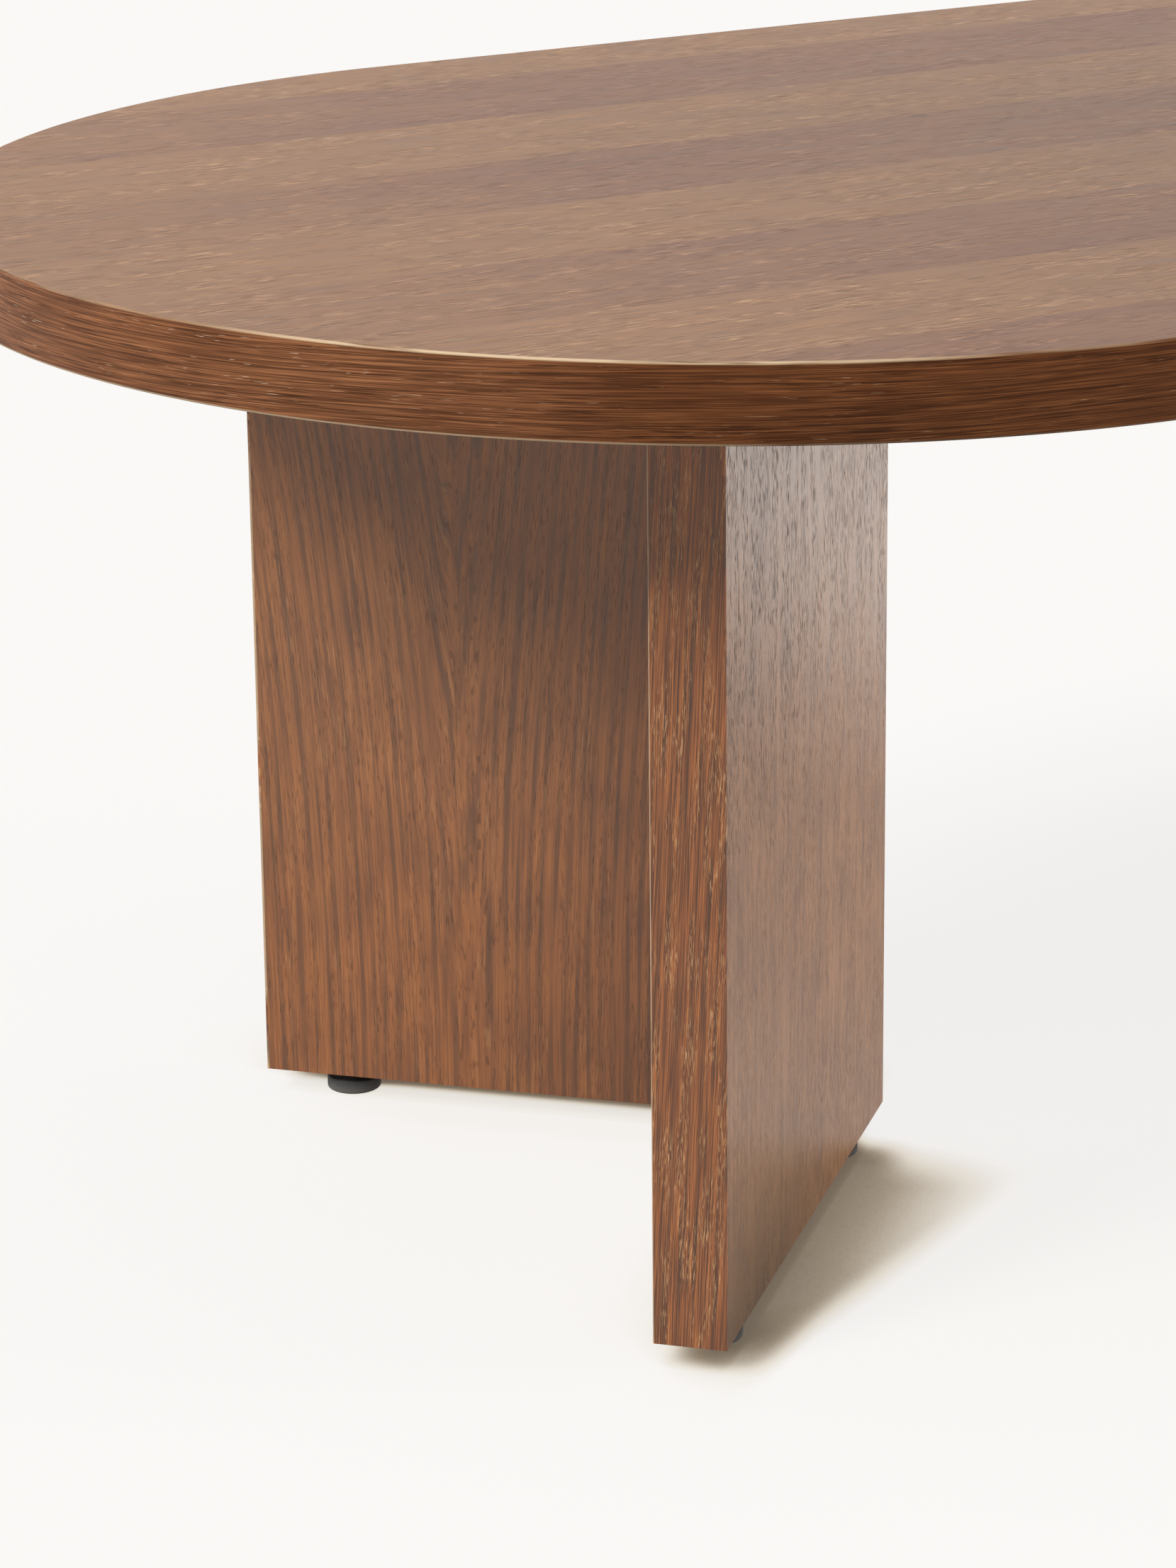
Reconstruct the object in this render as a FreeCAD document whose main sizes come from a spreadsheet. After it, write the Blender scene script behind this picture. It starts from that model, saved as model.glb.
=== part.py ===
"""Oval coffee table: a veneered board on two V-shaped legs of mitred panels, standing on screw glides.

Millimetres, +Z up, X along the top, -Y the front. The origin is on the floor under the middle of the top.
"""

import FreeCAD, Part
import math
import os
import Sketcher

SIZES = {
    # The top: a board with veneer on both faces and a band around its edge
    "top_length": 1000,
    "top_width": 550,
    "top_thickness": 25,
    "face_veneer": 0.6,
    "edge_band": 1.0,
    "arris_radius": 0.6,
    # A leg: two panels that meet on a mitre, arm_length being measured on the outer faces
    "leg_height": 321.5,
    "panel_thickness": 25,
    "arm_length": 230,
    "corner_from_end": 332,
    "corner_flat": 0.8,
    # The loose tongue that crosses the mitre
    "tongue_thickness": 4,
    "tongue_width": 16,
    "tongue_inset": 20,
    "tongue_stop": 30,
    "slot_gap": 0.5,
    # The steel plate let into the top of a leg, plate_margin in from the outer faces
    "plate_thickness": 3,
    "plate_arm": 150,
    "plate_margin": 6,
    "plate_end": 14,
    "plate_corner": 3,
    # Countersunk wood screws from the plate into the panels
    "screw_diameter": 4,
    "screw_length": 35,
    "screw_head": 8,
    "screw_first": 45,
    "screw_spacing": 45,
    # Bolts and washers from the plate into threaded inserts in the top
    "bolt_diameter": 6,
    "bolt_length": 16,
    "bolt_head": 10.5,
    "bolt_head_height": 3.3,
    "bolt_bevel": 1.6,
    "bolt_socket": 4,
    "bolt_socket_depth": 2,
    "bolt_clearance": 0.3,
    "bolt_inset": 20,
    "bolt_spread": 60,
    "washer_diameter": 12,
    "washer_thickness": 1.6,
    "top_insert_diameter": 10,
    "top_insert_length": 13,
    # The glides: a plastic pad that turns on the headed end of a threaded stud
    "pad_diameter": 20,
    "pad_height": 5.5,
    "pad_floor": 1.8,
    "pad_round": 1.0,
    "pad_gap": 3.0,
    "stud_diameter": 6,
    "stud_thread": 25,
    "stud_head": 11,
    "stud_head_height": 1.8,
    "stud_point": 0.8,
    "collar_width": 10,
    "collar_height": 1.6,
    "collar_play": 0.3,
    "glide_from_end": 30,
    "glide_from_corner": 32,
    "glide_insert_diameter": 9,
    "glide_insert_length": 15,
    # Clearances shared by all the fits
    "running_gap": 0.1,
    "head_play": 0.2,
    "hole_spare": 3,
}

doc = FreeCAD.newDocument("coffee_table")
sheet = doc.addObject("Spreadsheet::Sheet", "sizes")
for row, (alias, value) in enumerate(SIZES.items(), start=1):
    sheet.set(f"A{row}", alias)
    sheet.set(f"B{row}", str(value))
    sheet.setAlias(f"B{row}", alias)
doc.recompute()

UP = FreeCAD.Vector(0, 0, 1)
pieces = []

# Levels and lines that several pieces share
LEG_FOOT = "(sizes.pad_height + sizes.pad_gap)"
LEG_TOP = f"({LEG_FOOT} + sizes.leg_height)"
HALF_STRAIGHT = "((sizes.top_length - sizes.top_width) / 2)"
CORNER_X = "(sizes.top_length / 2 - sizes.corner_from_end)"
ARM_STOP = "(sizes.arm_length - sizes.edge_band)"
CORE_INNER = "(sizes.panel_thickness - sizes.face_veneer)"
MID_PANEL = "(sizes.panel_thickness / 2)"


def number(expression):
    """The value that an expression in the named sizes has now."""
    return float(sheet.evalExpression(expression))


def add_body(label):
    """An empty body that becomes a piece of the table."""
    body = doc.addObject("PartDesign::Body", label)
    pieces.append(body)
    return body


def draw_on(body, role, height="0"):
    """A sketch on one of the body's own origin planes, raised from it by height."""
    plane = next(item for item in body.Origin.OriginFeatures if item.Role == role)
    sketch = body.newObject("Sketcher::SketchObject", f"{body.Name}_sketch")
    sketch.AttachmentSupport = (plane, [""])
    sketch.MapMode = "FlatFace"
    sketch.setExpression("AttachmentOffset.Base.z", height)
    return sketch


def pin(sketch, geometry, point, spot):
    """Holds a point of a sketch at a pair of expressions."""
    for kind, place in zip(("DistanceX", "DistanceY"), spot):
        index = sketch.addConstraint(Sketcher.Constraint(kind, -1, 1, geometry, point, number(place)))
        sketch.setExpression(f"Constraints[{index}]", place)


def size_round(sketch, kind, geometry, expression):
    """Gives an arc its radius or a circle its diameter."""
    index = sketch.addConstraint(Sketcher.Constraint(kind, geometry, number(expression)))
    sketch.setExpression(f"Constraints[{index}]", expression)


def polygon(sketch, corners):
    """Draws a closed outline through corners, each a pair of expressions."""
    points = [FreeCAD.Vector(number(x), number(y), 0) for x, y in corners]
    first = sketch.GeometryCount
    for start, end in zip(points, points[1:] + points[:1]):
        sketch.addGeometry(Part.LineSegment(start, end), False)
    for step, corner in enumerate(corners):
        before = first + (step - 1) % len(corners)
        sketch.addConstraint(Sketcher.Constraint("Coincident", before, 2, first + step, 1))
        pin(sketch, first + step, 1, corner)


def circle(sketch, spot, diameter):
    """Draws a circle about a pair of expressions."""
    x, y = spot
    centre = FreeCAD.Vector(number(x), number(y), 0)
    index = sketch.addGeometry(Part.Circle(centre, UP, number(diameter) / 2), False)
    pin(sketch, index, 3, spot)
    size_round(sketch, "Diameter", index, diameter)


def stadium(sketch, radius):
    """Draws the oval of the top: two half circles about fixed centres and the lines that join them."""
    reach = number(radius)
    half = number(HALF_STRAIGHT)
    right = sketch.GeometryCount
    left, far, near = right + 1, right + 2, right + 3
    for centre, start in ((half, -math.pi / 2), (-half, math.pi / 2)):
        ring = Part.Circle(FreeCAD.Vector(centre, 0, 0), UP, reach)
        sketch.addGeometry(Part.ArcOfCircle(ring, start, start + math.pi), False)
    for side in (1, -1):
        start = FreeCAD.Vector(side * half, side * reach, 0)
        end = FreeCAD.Vector(-side * half, side * reach, 0)
        sketch.addGeometry(Part.LineSegment(start, end), False)
    for before, after in ((right, far), (far, left), (left, near), (near, right)):
        sketch.addConstraint(Sketcher.Constraint("Tangent", before, 2, after, 1))
    pin(sketch, right, 3, (HALF_STRAIGHT, "0"))
    pin(sketch, left, 3, (f"-{HALF_STRAIGHT}", "0"))
    sketch.addConstraint(Sketcher.Constraint("Equal", right, left))
    size_round(sketch, "Radius", right, radius)


def pad(body, sketch, length):
    """Raises a sketch into a solid, or adds that solid to the body."""
    feature = body.newObject("PartDesign::Pad", f"{body.Name}_pad")
    feature.Profile = sketch
    feature.setExpression("Length", length)
    doc.recompute()


def pocket(body, sketch, depth, upwards=False):
    """Cuts a sketch into the body and makes sure that the cut removed something."""
    before = body.Shape.Volume
    feature = body.newObject("PartDesign::Pocket", f"{body.Name}_pocket")
    feature.Profile = sketch
    feature.Reversed = upwards
    feature.setExpression("Length", depth)
    doc.recompute()
    if body.Shape.Volume >= before:
        raise RuntimeError(f"a pocket of {body.Label} cuts nothing")


def revolve(body, sketch):
    """Turns a half section about the body's own vertical axis."""
    feature = body.newObject("PartDesign::Revolution", f"{body.Name}_turning")
    feature.Profile = sketch
    feature.ReferenceAxis = (sketch, ["V_Axis"])
    feature.Angle = 360
    doc.recompute()


def round_edges(body, radius, chosen):
    """Rounds the edges of the body for which chosen(edge) holds."""
    last = body.Tip
    names = [f"Edge{index}" for index, edge in enumerate(last.Shape.Edges, start=1) if chosen(edge)]
    feature = body.newObject("PartDesign::Fillet", f"{body.Name}_rounding")
    feature.Base = (last, names)
    feature.setExpression("Radius", radius)
    doc.recompute()


def near(one, other):
    """Whether two lengths are the same."""
    return abs(one - other) < 1e-4


def hexagon(width):
    """Corners of a hexagon of a given width across its flats."""
    corner = f"({width} / sqrt(3))"
    return [(f"{corner} * cos({turn} deg)", f"{corner} * sin({turn} deg)") for turn in range(0, 360, 60)]


# A leg is drawn in a frame of its own: the outer corner of the V at its foot is the origin, and the first
# and second arms run along its two axes. The right leg has its first arm at the front, the left at the back.
SIGN = {"left": -1, "right": 1}
ARMS = {"left": ("back", "front"), "right": ("front", "back")}


def on_arm(second, run, across):
    """A point of a leg: run along an arm from the outer corner, across it from its outer face."""
    return (across, run) if second else (run, across)


def in_row(side, spot):
    """The place under the table of a point given in a leg's own frame."""
    first, second = spot
    x = f"{SIGN[side]} * ({CORNER_X} + (({first}) + ({second})) / sqrt(2))"
    y = f"{SIGN[side]} * (({second}) - ({first})) / sqrt(2)"
    return x, y


def set_on_leg(piece, side, height="0"):
    """Stands a piece drawn in the leg's frame in its place, the V opening to its end of the table."""
    middle_of_v = FreeCAD.Vector(1, 1, 0)
    outwards = FreeCAD.Vector(SIGN[side], 0, 0)
    piece.Placement = FreeCAD.Placement(FreeCAD.Vector(), FreeCAD.Rotation(middle_of_v, outwards))
    piece.setExpression("Placement.Base.x", f"{SIGN[side]} * {CORNER_X}")
    piece.setExpression("Placement.Base.z", f"{LEG_FOOT} + {height}")


def set_at(piece, side, spot, height):
    """Moves a turned piece to a point of a leg, height above the floor."""
    x, y = in_row(side, spot)
    piece.setExpression("Placement.Base.x", x)
    piece.setExpression("Placement.Base.y", y)
    piece.setExpression("Placement.Base.z", height)


BOLT_NEAR = "(sizes.panel_thickness + sizes.bolt_inset)"
BOLT_FAR = f"({BOLT_NEAR} + sizes.bolt_spread)"
BOLTS = [(BOLT_NEAR, BOLT_NEAR), (BOLT_FAR, BOLT_NEAR), (BOLT_NEAR, BOLT_FAR)]
SCREW_RUNS = [f"(sizes.screw_first + {step} * sizes.screw_spacing)" for step in range(3)]
GLIDE_RUNS = {
    "corner": "sizes.glide_from_corner",
    "end": "(sizes.arm_length - sizes.glide_from_end)",
}


# The top: core, veneers and edge band
def add_board(label, level, thickness):
    """A layer of the top inside the edge band, level above the underside."""
    body = add_body(label)
    outline = draw_on(body, "XY_Plane")
    stadium(outline, "sizes.top_width / 2 - sizes.edge_band")
    pad(body, outline, thickness)
    body.setExpression("Placement.Base.z", f"{LEG_TOP} + {level}")
    return body


def drill_for_inserts(board, depth):
    """Drills a layer of the top from below for the threaded inserts of both legs."""
    holes = draw_on(board, "XY_Plane")
    for side in SIGN:
        for bolt in BOLTS:
            circle(holes, in_row(side, bolt), "sizes.top_insert_diameter + 2 * sizes.running_gap")
    pocket(board, holes, depth, upwards=True)


core = add_board("top_core", "sizes.face_veneer", "sizes.top_thickness - 2 * sizes.face_veneer")
drill_for_inserts(core, "sizes.top_insert_length - sizes.face_veneer + sizes.hole_spare")
underside = add_board("underside_veneer", "0", "sizes.face_veneer")
drill_for_inserts(underside, "sizes.face_veneer")
add_board("top_veneer", "sizes.top_thickness - sizes.face_veneer", "sizes.face_veneer")

band = add_body("top_edge_band")
band_outline = draw_on(band, "XY_Plane")
stadium(band_outline, "sizes.top_width / 2")
stadium(band_outline, "sizes.top_width / 2 - sizes.edge_band")
pad(band, band_outline, "sizes.top_thickness")
band.setExpression("Placement.Base.z", LEG_TOP)


def on_outer_rim(edge):
    """Whether an edge of the band runs around it on the outside."""
    reach = edge.Curve.Radius if edge.Curve.TypeId == "Part::GeomCircle" else abs(edge.CenterOfMass.y)
    return near(edge.BoundBox.ZLength, 0) and near(reach, number("sizes.top_width / 2"))


round_edges(band, "sizes.arris_radius", on_outer_rim)


# The legs: mitred panels with their veneers, end bands and tongue
def add_panel_layer(label, side, second, outline):
    """A layer of a leg panel as high as the leg, from an outline of (run, across) corners."""
    body = add_body(label)
    sketch = draw_on(body, "XY_Plane")
    polygon(sketch, [on_arm(second, run, across) for run, across in outline])
    pad(body, sketch, "sizes.leg_height")
    set_on_leg(body, side)
    return body


def cut_rebate(body, second):
    """Lowers the top of a panel layer by the mounting plate's thickness where the plate lies on it."""
    begin = "sizes.plate_margin - sizes.slot_gap"
    finish = "sizes.plate_arm + sizes.slot_gap"
    inner = "sizes.panel_thickness + sizes.slot_gap"
    sketch = draw_on(body, "XY_Plane", "sizes.leg_height")
    corners = [(begin, begin), (finish, begin), (finish, inner), (begin, inner)]
    polygon(sketch, [on_arm(second, run, across) for run, across in corners])
    pocket(body, sketch, "sizes.plate_thickness")


def cut_tongue_slot(body):
    """Cuts a core's half of the slot that crosses the mitre."""
    middle = "sizes.tongue_inset / sqrt(2)"
    deep = "(sizes.tongue_width / 2 + sizes.slot_gap)"
    thick = "(sizes.tongue_thickness / 2 + sizes.running_gap)"
    corners = []
    for across, through in ((1, 1), (1, -1), (-1, -1), (-1, 1)):
        first = f"{middle} + ({across} * {deep} + {through} * {thick}) / sqrt(2)"
        second = f"{middle} + ({through} * {thick} - {across} * {deep}) / sqrt(2)"
        corners.append((first, second))
    sketch = draw_on(body, "XY_Plane", "sizes.tongue_stop - sizes.slot_gap")
    polygon(sketch, corners)
    pocket(body, sketch, "sizes.leg_height - 2 * (sizes.tongue_stop - sizes.slot_gap)", upwards=True)


def drill_row(body, second, runs, diameter, depth, level="0", upwards=True):
    """Drills holes along the middle of a core, up from its foot or down from level."""
    sketch = draw_on(body, "XY_Plane", level)
    for run in runs:
        circle(sketch, on_arm(second, run, MID_PANEL), diameter)
    pocket(body, sketch, depth, upwards)


OUTER_LAYER = [
    ("sizes.corner_flat / 2", "sizes.corner_flat / 2"),
    ("sizes.corner_flat", "0"),
    (ARM_STOP, "0"),
    (ARM_STOP, "sizes.face_veneer"),
    ("sizes.face_veneer", "sizes.face_veneer"),
]
CORE_LAYER = [
    ("sizes.face_veneer", "sizes.face_veneer"),
    (ARM_STOP, "sizes.face_veneer"),
    (ARM_STOP, CORE_INNER),
    (CORE_INNER, CORE_INNER),
]
INNER_LAYER = [
    (CORE_INNER, CORE_INNER),
    (ARM_STOP, CORE_INNER),
    (ARM_STOP, "sizes.panel_thickness"),
    ("sizes.panel_thickness", "sizes.panel_thickness"),
]
END_LAYER = [
    (ARM_STOP, "0"),
    ("sizes.arm_length", "0"),
    ("sizes.arm_length", "sizes.panel_thickness"),
    (ARM_STOP, "sizes.panel_thickness"),
]


def add_panel(side, arm, second):
    """One panel of a leg with everything glued to it."""
    name = f"{side}_{arm}"
    panel = add_panel_layer(f"{name}_panel_core", side, second, CORE_LAYER)
    cut_rebate(panel, second)
    cut_tongue_slot(panel)
    glides = GLIDE_RUNS.values()
    insert_hole = "sizes.glide_insert_diameter + 2 * sizes.running_gap"
    stud_hole = "sizes.stud_diameter + 2 * sizes.bolt_clearance"
    drill_row(panel, second, glides, insert_hole, "sizes.glide_insert_length")
    drill_row(panel, second, glides, stud_hole, "sizes.stud_thread + sizes.hole_spare")
    pilot = "sizes.screw_diameter + 2 * sizes.running_gap"
    pilot_depth = "sizes.screw_length + sizes.hole_spare"
    drill_row(panel, second, SCREW_RUNS, pilot, pilot_depth, "sizes.leg_height", upwards=False)
    add_panel_layer(f"{name}_outer_veneer", side, second, OUTER_LAYER)
    inner = add_panel_layer(f"{name}_inner_veneer", side, second, INNER_LAYER)
    cut_rebate(inner, second)
    end = add_panel_layer(f"{name}_end_band", side, second, END_LAYER)

    def on_end_arris(edge):
        run = edge.CenterOfMass.y if second else edge.CenterOfMass.x
        return near(run, number("sizes.arm_length")) and near(edge.Length, number("sizes.leg_height"))

    round_edges(end, "sizes.arris_radius", on_end_arris)


def add_tongue(side):
    """The loose tongue, which lies square to the table although the panels stand at half a right angle."""
    tongue = doc.addObject("Part::Box", f"{side}_mitre_tongue")
    tongue.setExpression("Length", "sizes.tongue_thickness")
    tongue.setExpression("Width", "sizes.tongue_width")
    tongue.setExpression("Height", "sizes.leg_height - 2 * sizes.tongue_stop")
    middle = f"{SIGN[side]} * ({CORNER_X} + sizes.tongue_inset)"
    tongue.setExpression("Placement.Base.x", f"{middle} - sizes.tongue_thickness / 2")
    tongue.setExpression("Placement.Base.y", "-sizes.tongue_width / 2")
    tongue.setExpression("Placement.Base.z", f"{LEG_FOOT} + sizes.tongue_stop")
    pieces.append(tongue)


# The mounting plate of a leg, drilled for its bolts and countersunk for its screws
def screw_spots():
    """The points of a leg where screws hold the plate."""
    return [on_arm(second, run, MID_PANEL) for second in (False, True) for run in SCREW_RUNS]


def add_plate(side):
    """A triangle of steel with blunt ends that lies on both panels and bridges the V between them."""
    plate = add_body(f"{side}_mounting_plate")
    margin = "sizes.plate_margin"
    blunt = "(sizes.plate_margin + sizes.plate_end)"
    reach = "sizes.plate_arm"
    outline = draw_on(plate, "XY_Plane")
    polygon(outline, [(margin, margin), (reach, margin), (reach, blunt), (blunt, reach), (margin, reach)])
    pad(plate, outline, "sizes.plate_thickness")
    upright = number("sizes.plate_thickness")
    round_edges(plate, "sizes.plate_corner", lambda edge: near(edge.BoundBox.ZLength, upright))
    bolt_holes = draw_on(plate, "XY_Plane")
    for spot in BOLTS:
        circle(bolt_holes, spot, "sizes.bolt_diameter + 2 * sizes.bolt_clearance")
    pocket(plate, bolt_holes, "sizes.plate_thickness", upwards=True)
    screw_holes = draw_on(plate, "XY_Plane", "sizes.plate_thickness")
    for spot in screw_spots():
        circle(screw_holes, spot, "sizes.screw_diameter")
    before = plate.Shape.Volume
    holes = plate.newObject("PartDesign::Hole", f"{plate.Name}_countersinks")
    holes.Profile = screw_holes
    holes.DepthType = "ThroughAll"
    holes.HoleCutType = "Countersink"
    holes.HoleCutCustomValues = True
    holes.HoleCutCountersinkAngle = 90
    holes.setExpression("Diameter", "sizes.screw_diameter + 2 * sizes.running_gap")
    holes.setExpression("HoleCutDiameter", "sizes.screw_head + 2 * sizes.running_gap")
    doc.recompute()
    if plate.Shape.Volume >= before:
        raise RuntimeError(f"the countersinks of {plate.Label} cut nothing")
    set_on_leg(plate, side, "sizes.leg_height - sizes.plate_thickness")


# Screws, bolts, washers and inserts: turned solids that share a half section, grouped by leg
def half_section(label, corners):
    """A sketch of half a turned piece, its radius across and its height up."""
    sketch = doc.addObject("Sketcher::SketchObject", label)
    upright = FreeCAD.Rotation(FreeCAD.Vector(1, 0, 0), 90)
    sketch.Placement = FreeCAD.Placement(FreeCAD.Vector(), upright)
    polygon(sketch, corners)
    return sketch


def sleeve_section(label, bore, outside, length):
    """Half of a plain tube."""
    return half_section(label, [(bore, "0"), (outside, "0"), (outside, length), (bore, length)])


def turn(section, name):
    """A solid turned from a half section."""
    solid = doc.addObject("Part::Revolution", name)
    solid.Source = section
    solid.Axis = UP
    solid.Angle = 360
    solid.Solid = True
    return solid


def add_group(label, solids):
    """Gathers separate solids of one kind into a piece."""
    group = doc.addObject("Part::Compound", label)
    group.Links = solids
    pieces.append(group)


def add_turned_group(label, section, side, spots, height):
    """A group of plain turned pieces at the given points of a leg."""
    solids = []
    for index, spot in enumerate(spots, start=1):
        solid = turn(section, f"{label}_{index}")
        set_at(solid, side, spot, height)
        solids.append(solid)
    add_group(label, solids)


def add_bolts(side):
    """Button head bolts with hexagon sockets, hanging below the plate and its washers."""
    solids = []
    for index, spot in enumerate(BOLTS, start=1):
        name = f"{side}_top_bolts_{index}"
        socket = doc.addObject("Part::Prism", f"{name}_socket")
        socket.Polygon = 6
        socket.setExpression("Circumradius", "sizes.bolt_socket / sqrt(3)")
        socket.setExpression("Height", "sizes.bolt_socket_depth")
        socket.setExpression("Placement.Base.z", "-sizes.bolt_head_height")
        bolt = doc.addObject("Part::Cut", name)
        bolt.Base = turn(bolt_section, f"{name}_blank")
        bolt.Tool = socket
        set_at(bolt, side, spot, f"{LEG_TOP} - sizes.plate_thickness - sizes.washer_thickness")
        solids.append(bolt)
    add_group(f"{side}_top_bolts", solids)


screw_section = half_section("screw_section", [
    ("0", "0"),
    ("sizes.screw_head / 2", "0"),
    ("sizes.screw_diameter / 2", "-(sizes.screw_head - sizes.screw_diameter) / 2"),
    ("sizes.screw_diameter / 2", "-(sizes.screw_length - sizes.screw_diameter)"),
    ("0", "-sizes.screw_length"),
])
bolt_section = half_section("bolt_section", [
    ("0", "-sizes.bolt_head_height"),
    ("sizes.bolt_head / 2 - sizes.bolt_bevel", "-sizes.bolt_head_height"),
    ("sizes.bolt_head / 2", "-sizes.bolt_head_height + sizes.bolt_bevel"),
    ("sizes.bolt_head / 2", "0"),
    ("sizes.bolt_diameter / 2", "0"),
    ("sizes.bolt_diameter / 2", "sizes.bolt_length"),
    ("0", "sizes.bolt_length"),
])
washer_section = sleeve_section(
    "washer_section",
    "sizes.bolt_diameter / 2 + sizes.bolt_clearance",
    "sizes.washer_diameter / 2",
    "sizes.washer_thickness",
)
top_insert_section = sleeve_section(
    "top_insert_section",
    "sizes.bolt_diameter / 2 + sizes.running_gap",
    "sizes.top_insert_diameter / 2",
    "sizes.top_insert_length",
)
glide_insert_section = sleeve_section(
    "glide_insert_section",
    "sizes.stud_diameter / 2 + sizes.running_gap",
    "sizes.glide_insert_diameter / 2",
    "sizes.glide_insert_length",
)


# The glides
def add_pad(name, side, spot):
    """A plastic pad with a hollow that holds the head of the stud."""
    body = add_body(f"{name}_glide_pad")
    rim = "sizes.pad_diameter / 2"
    neck = "sizes.stud_diameter / 2 + sizes.running_gap"
    hollow = "sizes.stud_head / 2 + sizes.head_play"
    roof = "sizes.pad_floor + sizes.stud_head_height + sizes.head_play"
    section = draw_on(body, "XZ_Plane")
    polygon(section, [
        ("0", "0"),
        (rim, "0"),
        (rim, "sizes.pad_height"),
        (neck, "sizes.pad_height"),
        (neck, roof),
        (hollow, roof),
        (hollow, "sizes.pad_floor"),
        ("0", "sizes.pad_floor"),
    ])
    revolve(body, section)

    def on_rim(edge):
        is_ring = edge.Curve.TypeId == "Part::GeomCircle"
        return is_ring and near(edge.BoundBox.ZLength, 0) and near(edge.Curve.Radius, number(rim))

    round_edges(body, "sizes.pad_round", on_rim)
    set_at(body, side, spot, "0")


def add_stud(name, side, spot):
    """A threaded stud with a disc head below and a hexagon collar to turn it by."""
    body = add_body(f"{name}_glide_stud")
    shank = "sizes.stud_diameter / 2"
    collar = "(sizes.pad_height - sizes.pad_floor + sizes.collar_play)"
    tip = f"{collar} + sizes.collar_height + sizes.stud_thread"
    section = draw_on(body, "XZ_Plane")
    polygon(section, [
        ("0", "0"),
        ("sizes.stud_head / 2", "0"),
        ("sizes.stud_head / 2", "sizes.stud_head_height"),
        (shank, "sizes.stud_head_height"),
        (shank, f"{tip} - sizes.stud_point"),
        (f"{shank} - sizes.stud_point", tip),
        ("0", tip),
    ])
    revolve(body, section)
    flats = draw_on(body, "XY_Plane", collar)
    polygon(flats, hexagon("sizes.collar_width"))
    pad(body, flats, "sizes.collar_height")
    set_at(body, side, spot, "sizes.pad_floor")


# Both legs, piece by piece in the order they go together
for side, arms in ARMS.items():
    for second, arm in enumerate(arms):
        add_panel(side, arm, bool(second))
    add_tongue(side)
    add_plate(side)
    add_turned_group(f"{side}_plate_screws", screw_section, side, screw_spots(), LEG_TOP)
    add_turned_group(f"{side}_top_inserts", top_insert_section, side, BOLTS, LEG_TOP)
    washer_level = f"{LEG_TOP} - sizes.plate_thickness - sizes.washer_thickness"
    add_turned_group(f"{side}_bolt_washers", washer_section, side, BOLTS, washer_level)
    add_bolts(side)
    glide_spots = {}
    for second, arm in enumerate(arms):
        for place, run in GLIDE_RUNS.items():
            glide_spots[f"{side}_{arm}_{place}"] = on_arm(bool(second), run, MID_PANEL)
    inserts = glide_spots.values()
    add_turned_group(f"{side}_glide_inserts", glide_insert_section, side, inserts, LEG_FOOT)
    for name, spot in glide_spots.items():
        add_pad(name, side, spot)
        add_stud(name, side, spot)

doc.recompute()
for item in doc.Objects:
    if {"Invalid", "Error"} & set(item.State):
        raise RuntimeError(f"{item.Label} did not build")
os.makedirs("parts", exist_ok=True)
for piece in pieces:
    shape = piece.Shape
    if shape.isNull() or not shape.isValid() or not shape.Solids:
        raise RuntimeError(f"{piece.Label} has no sound solid")
    shape.exportStep(f"parts/{piece.Label}.step")
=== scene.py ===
# Coffee table with a rounded top on two V-shaped legs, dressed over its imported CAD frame.
import math

import bpy
from mathutils import Matrix, Vector


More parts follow.
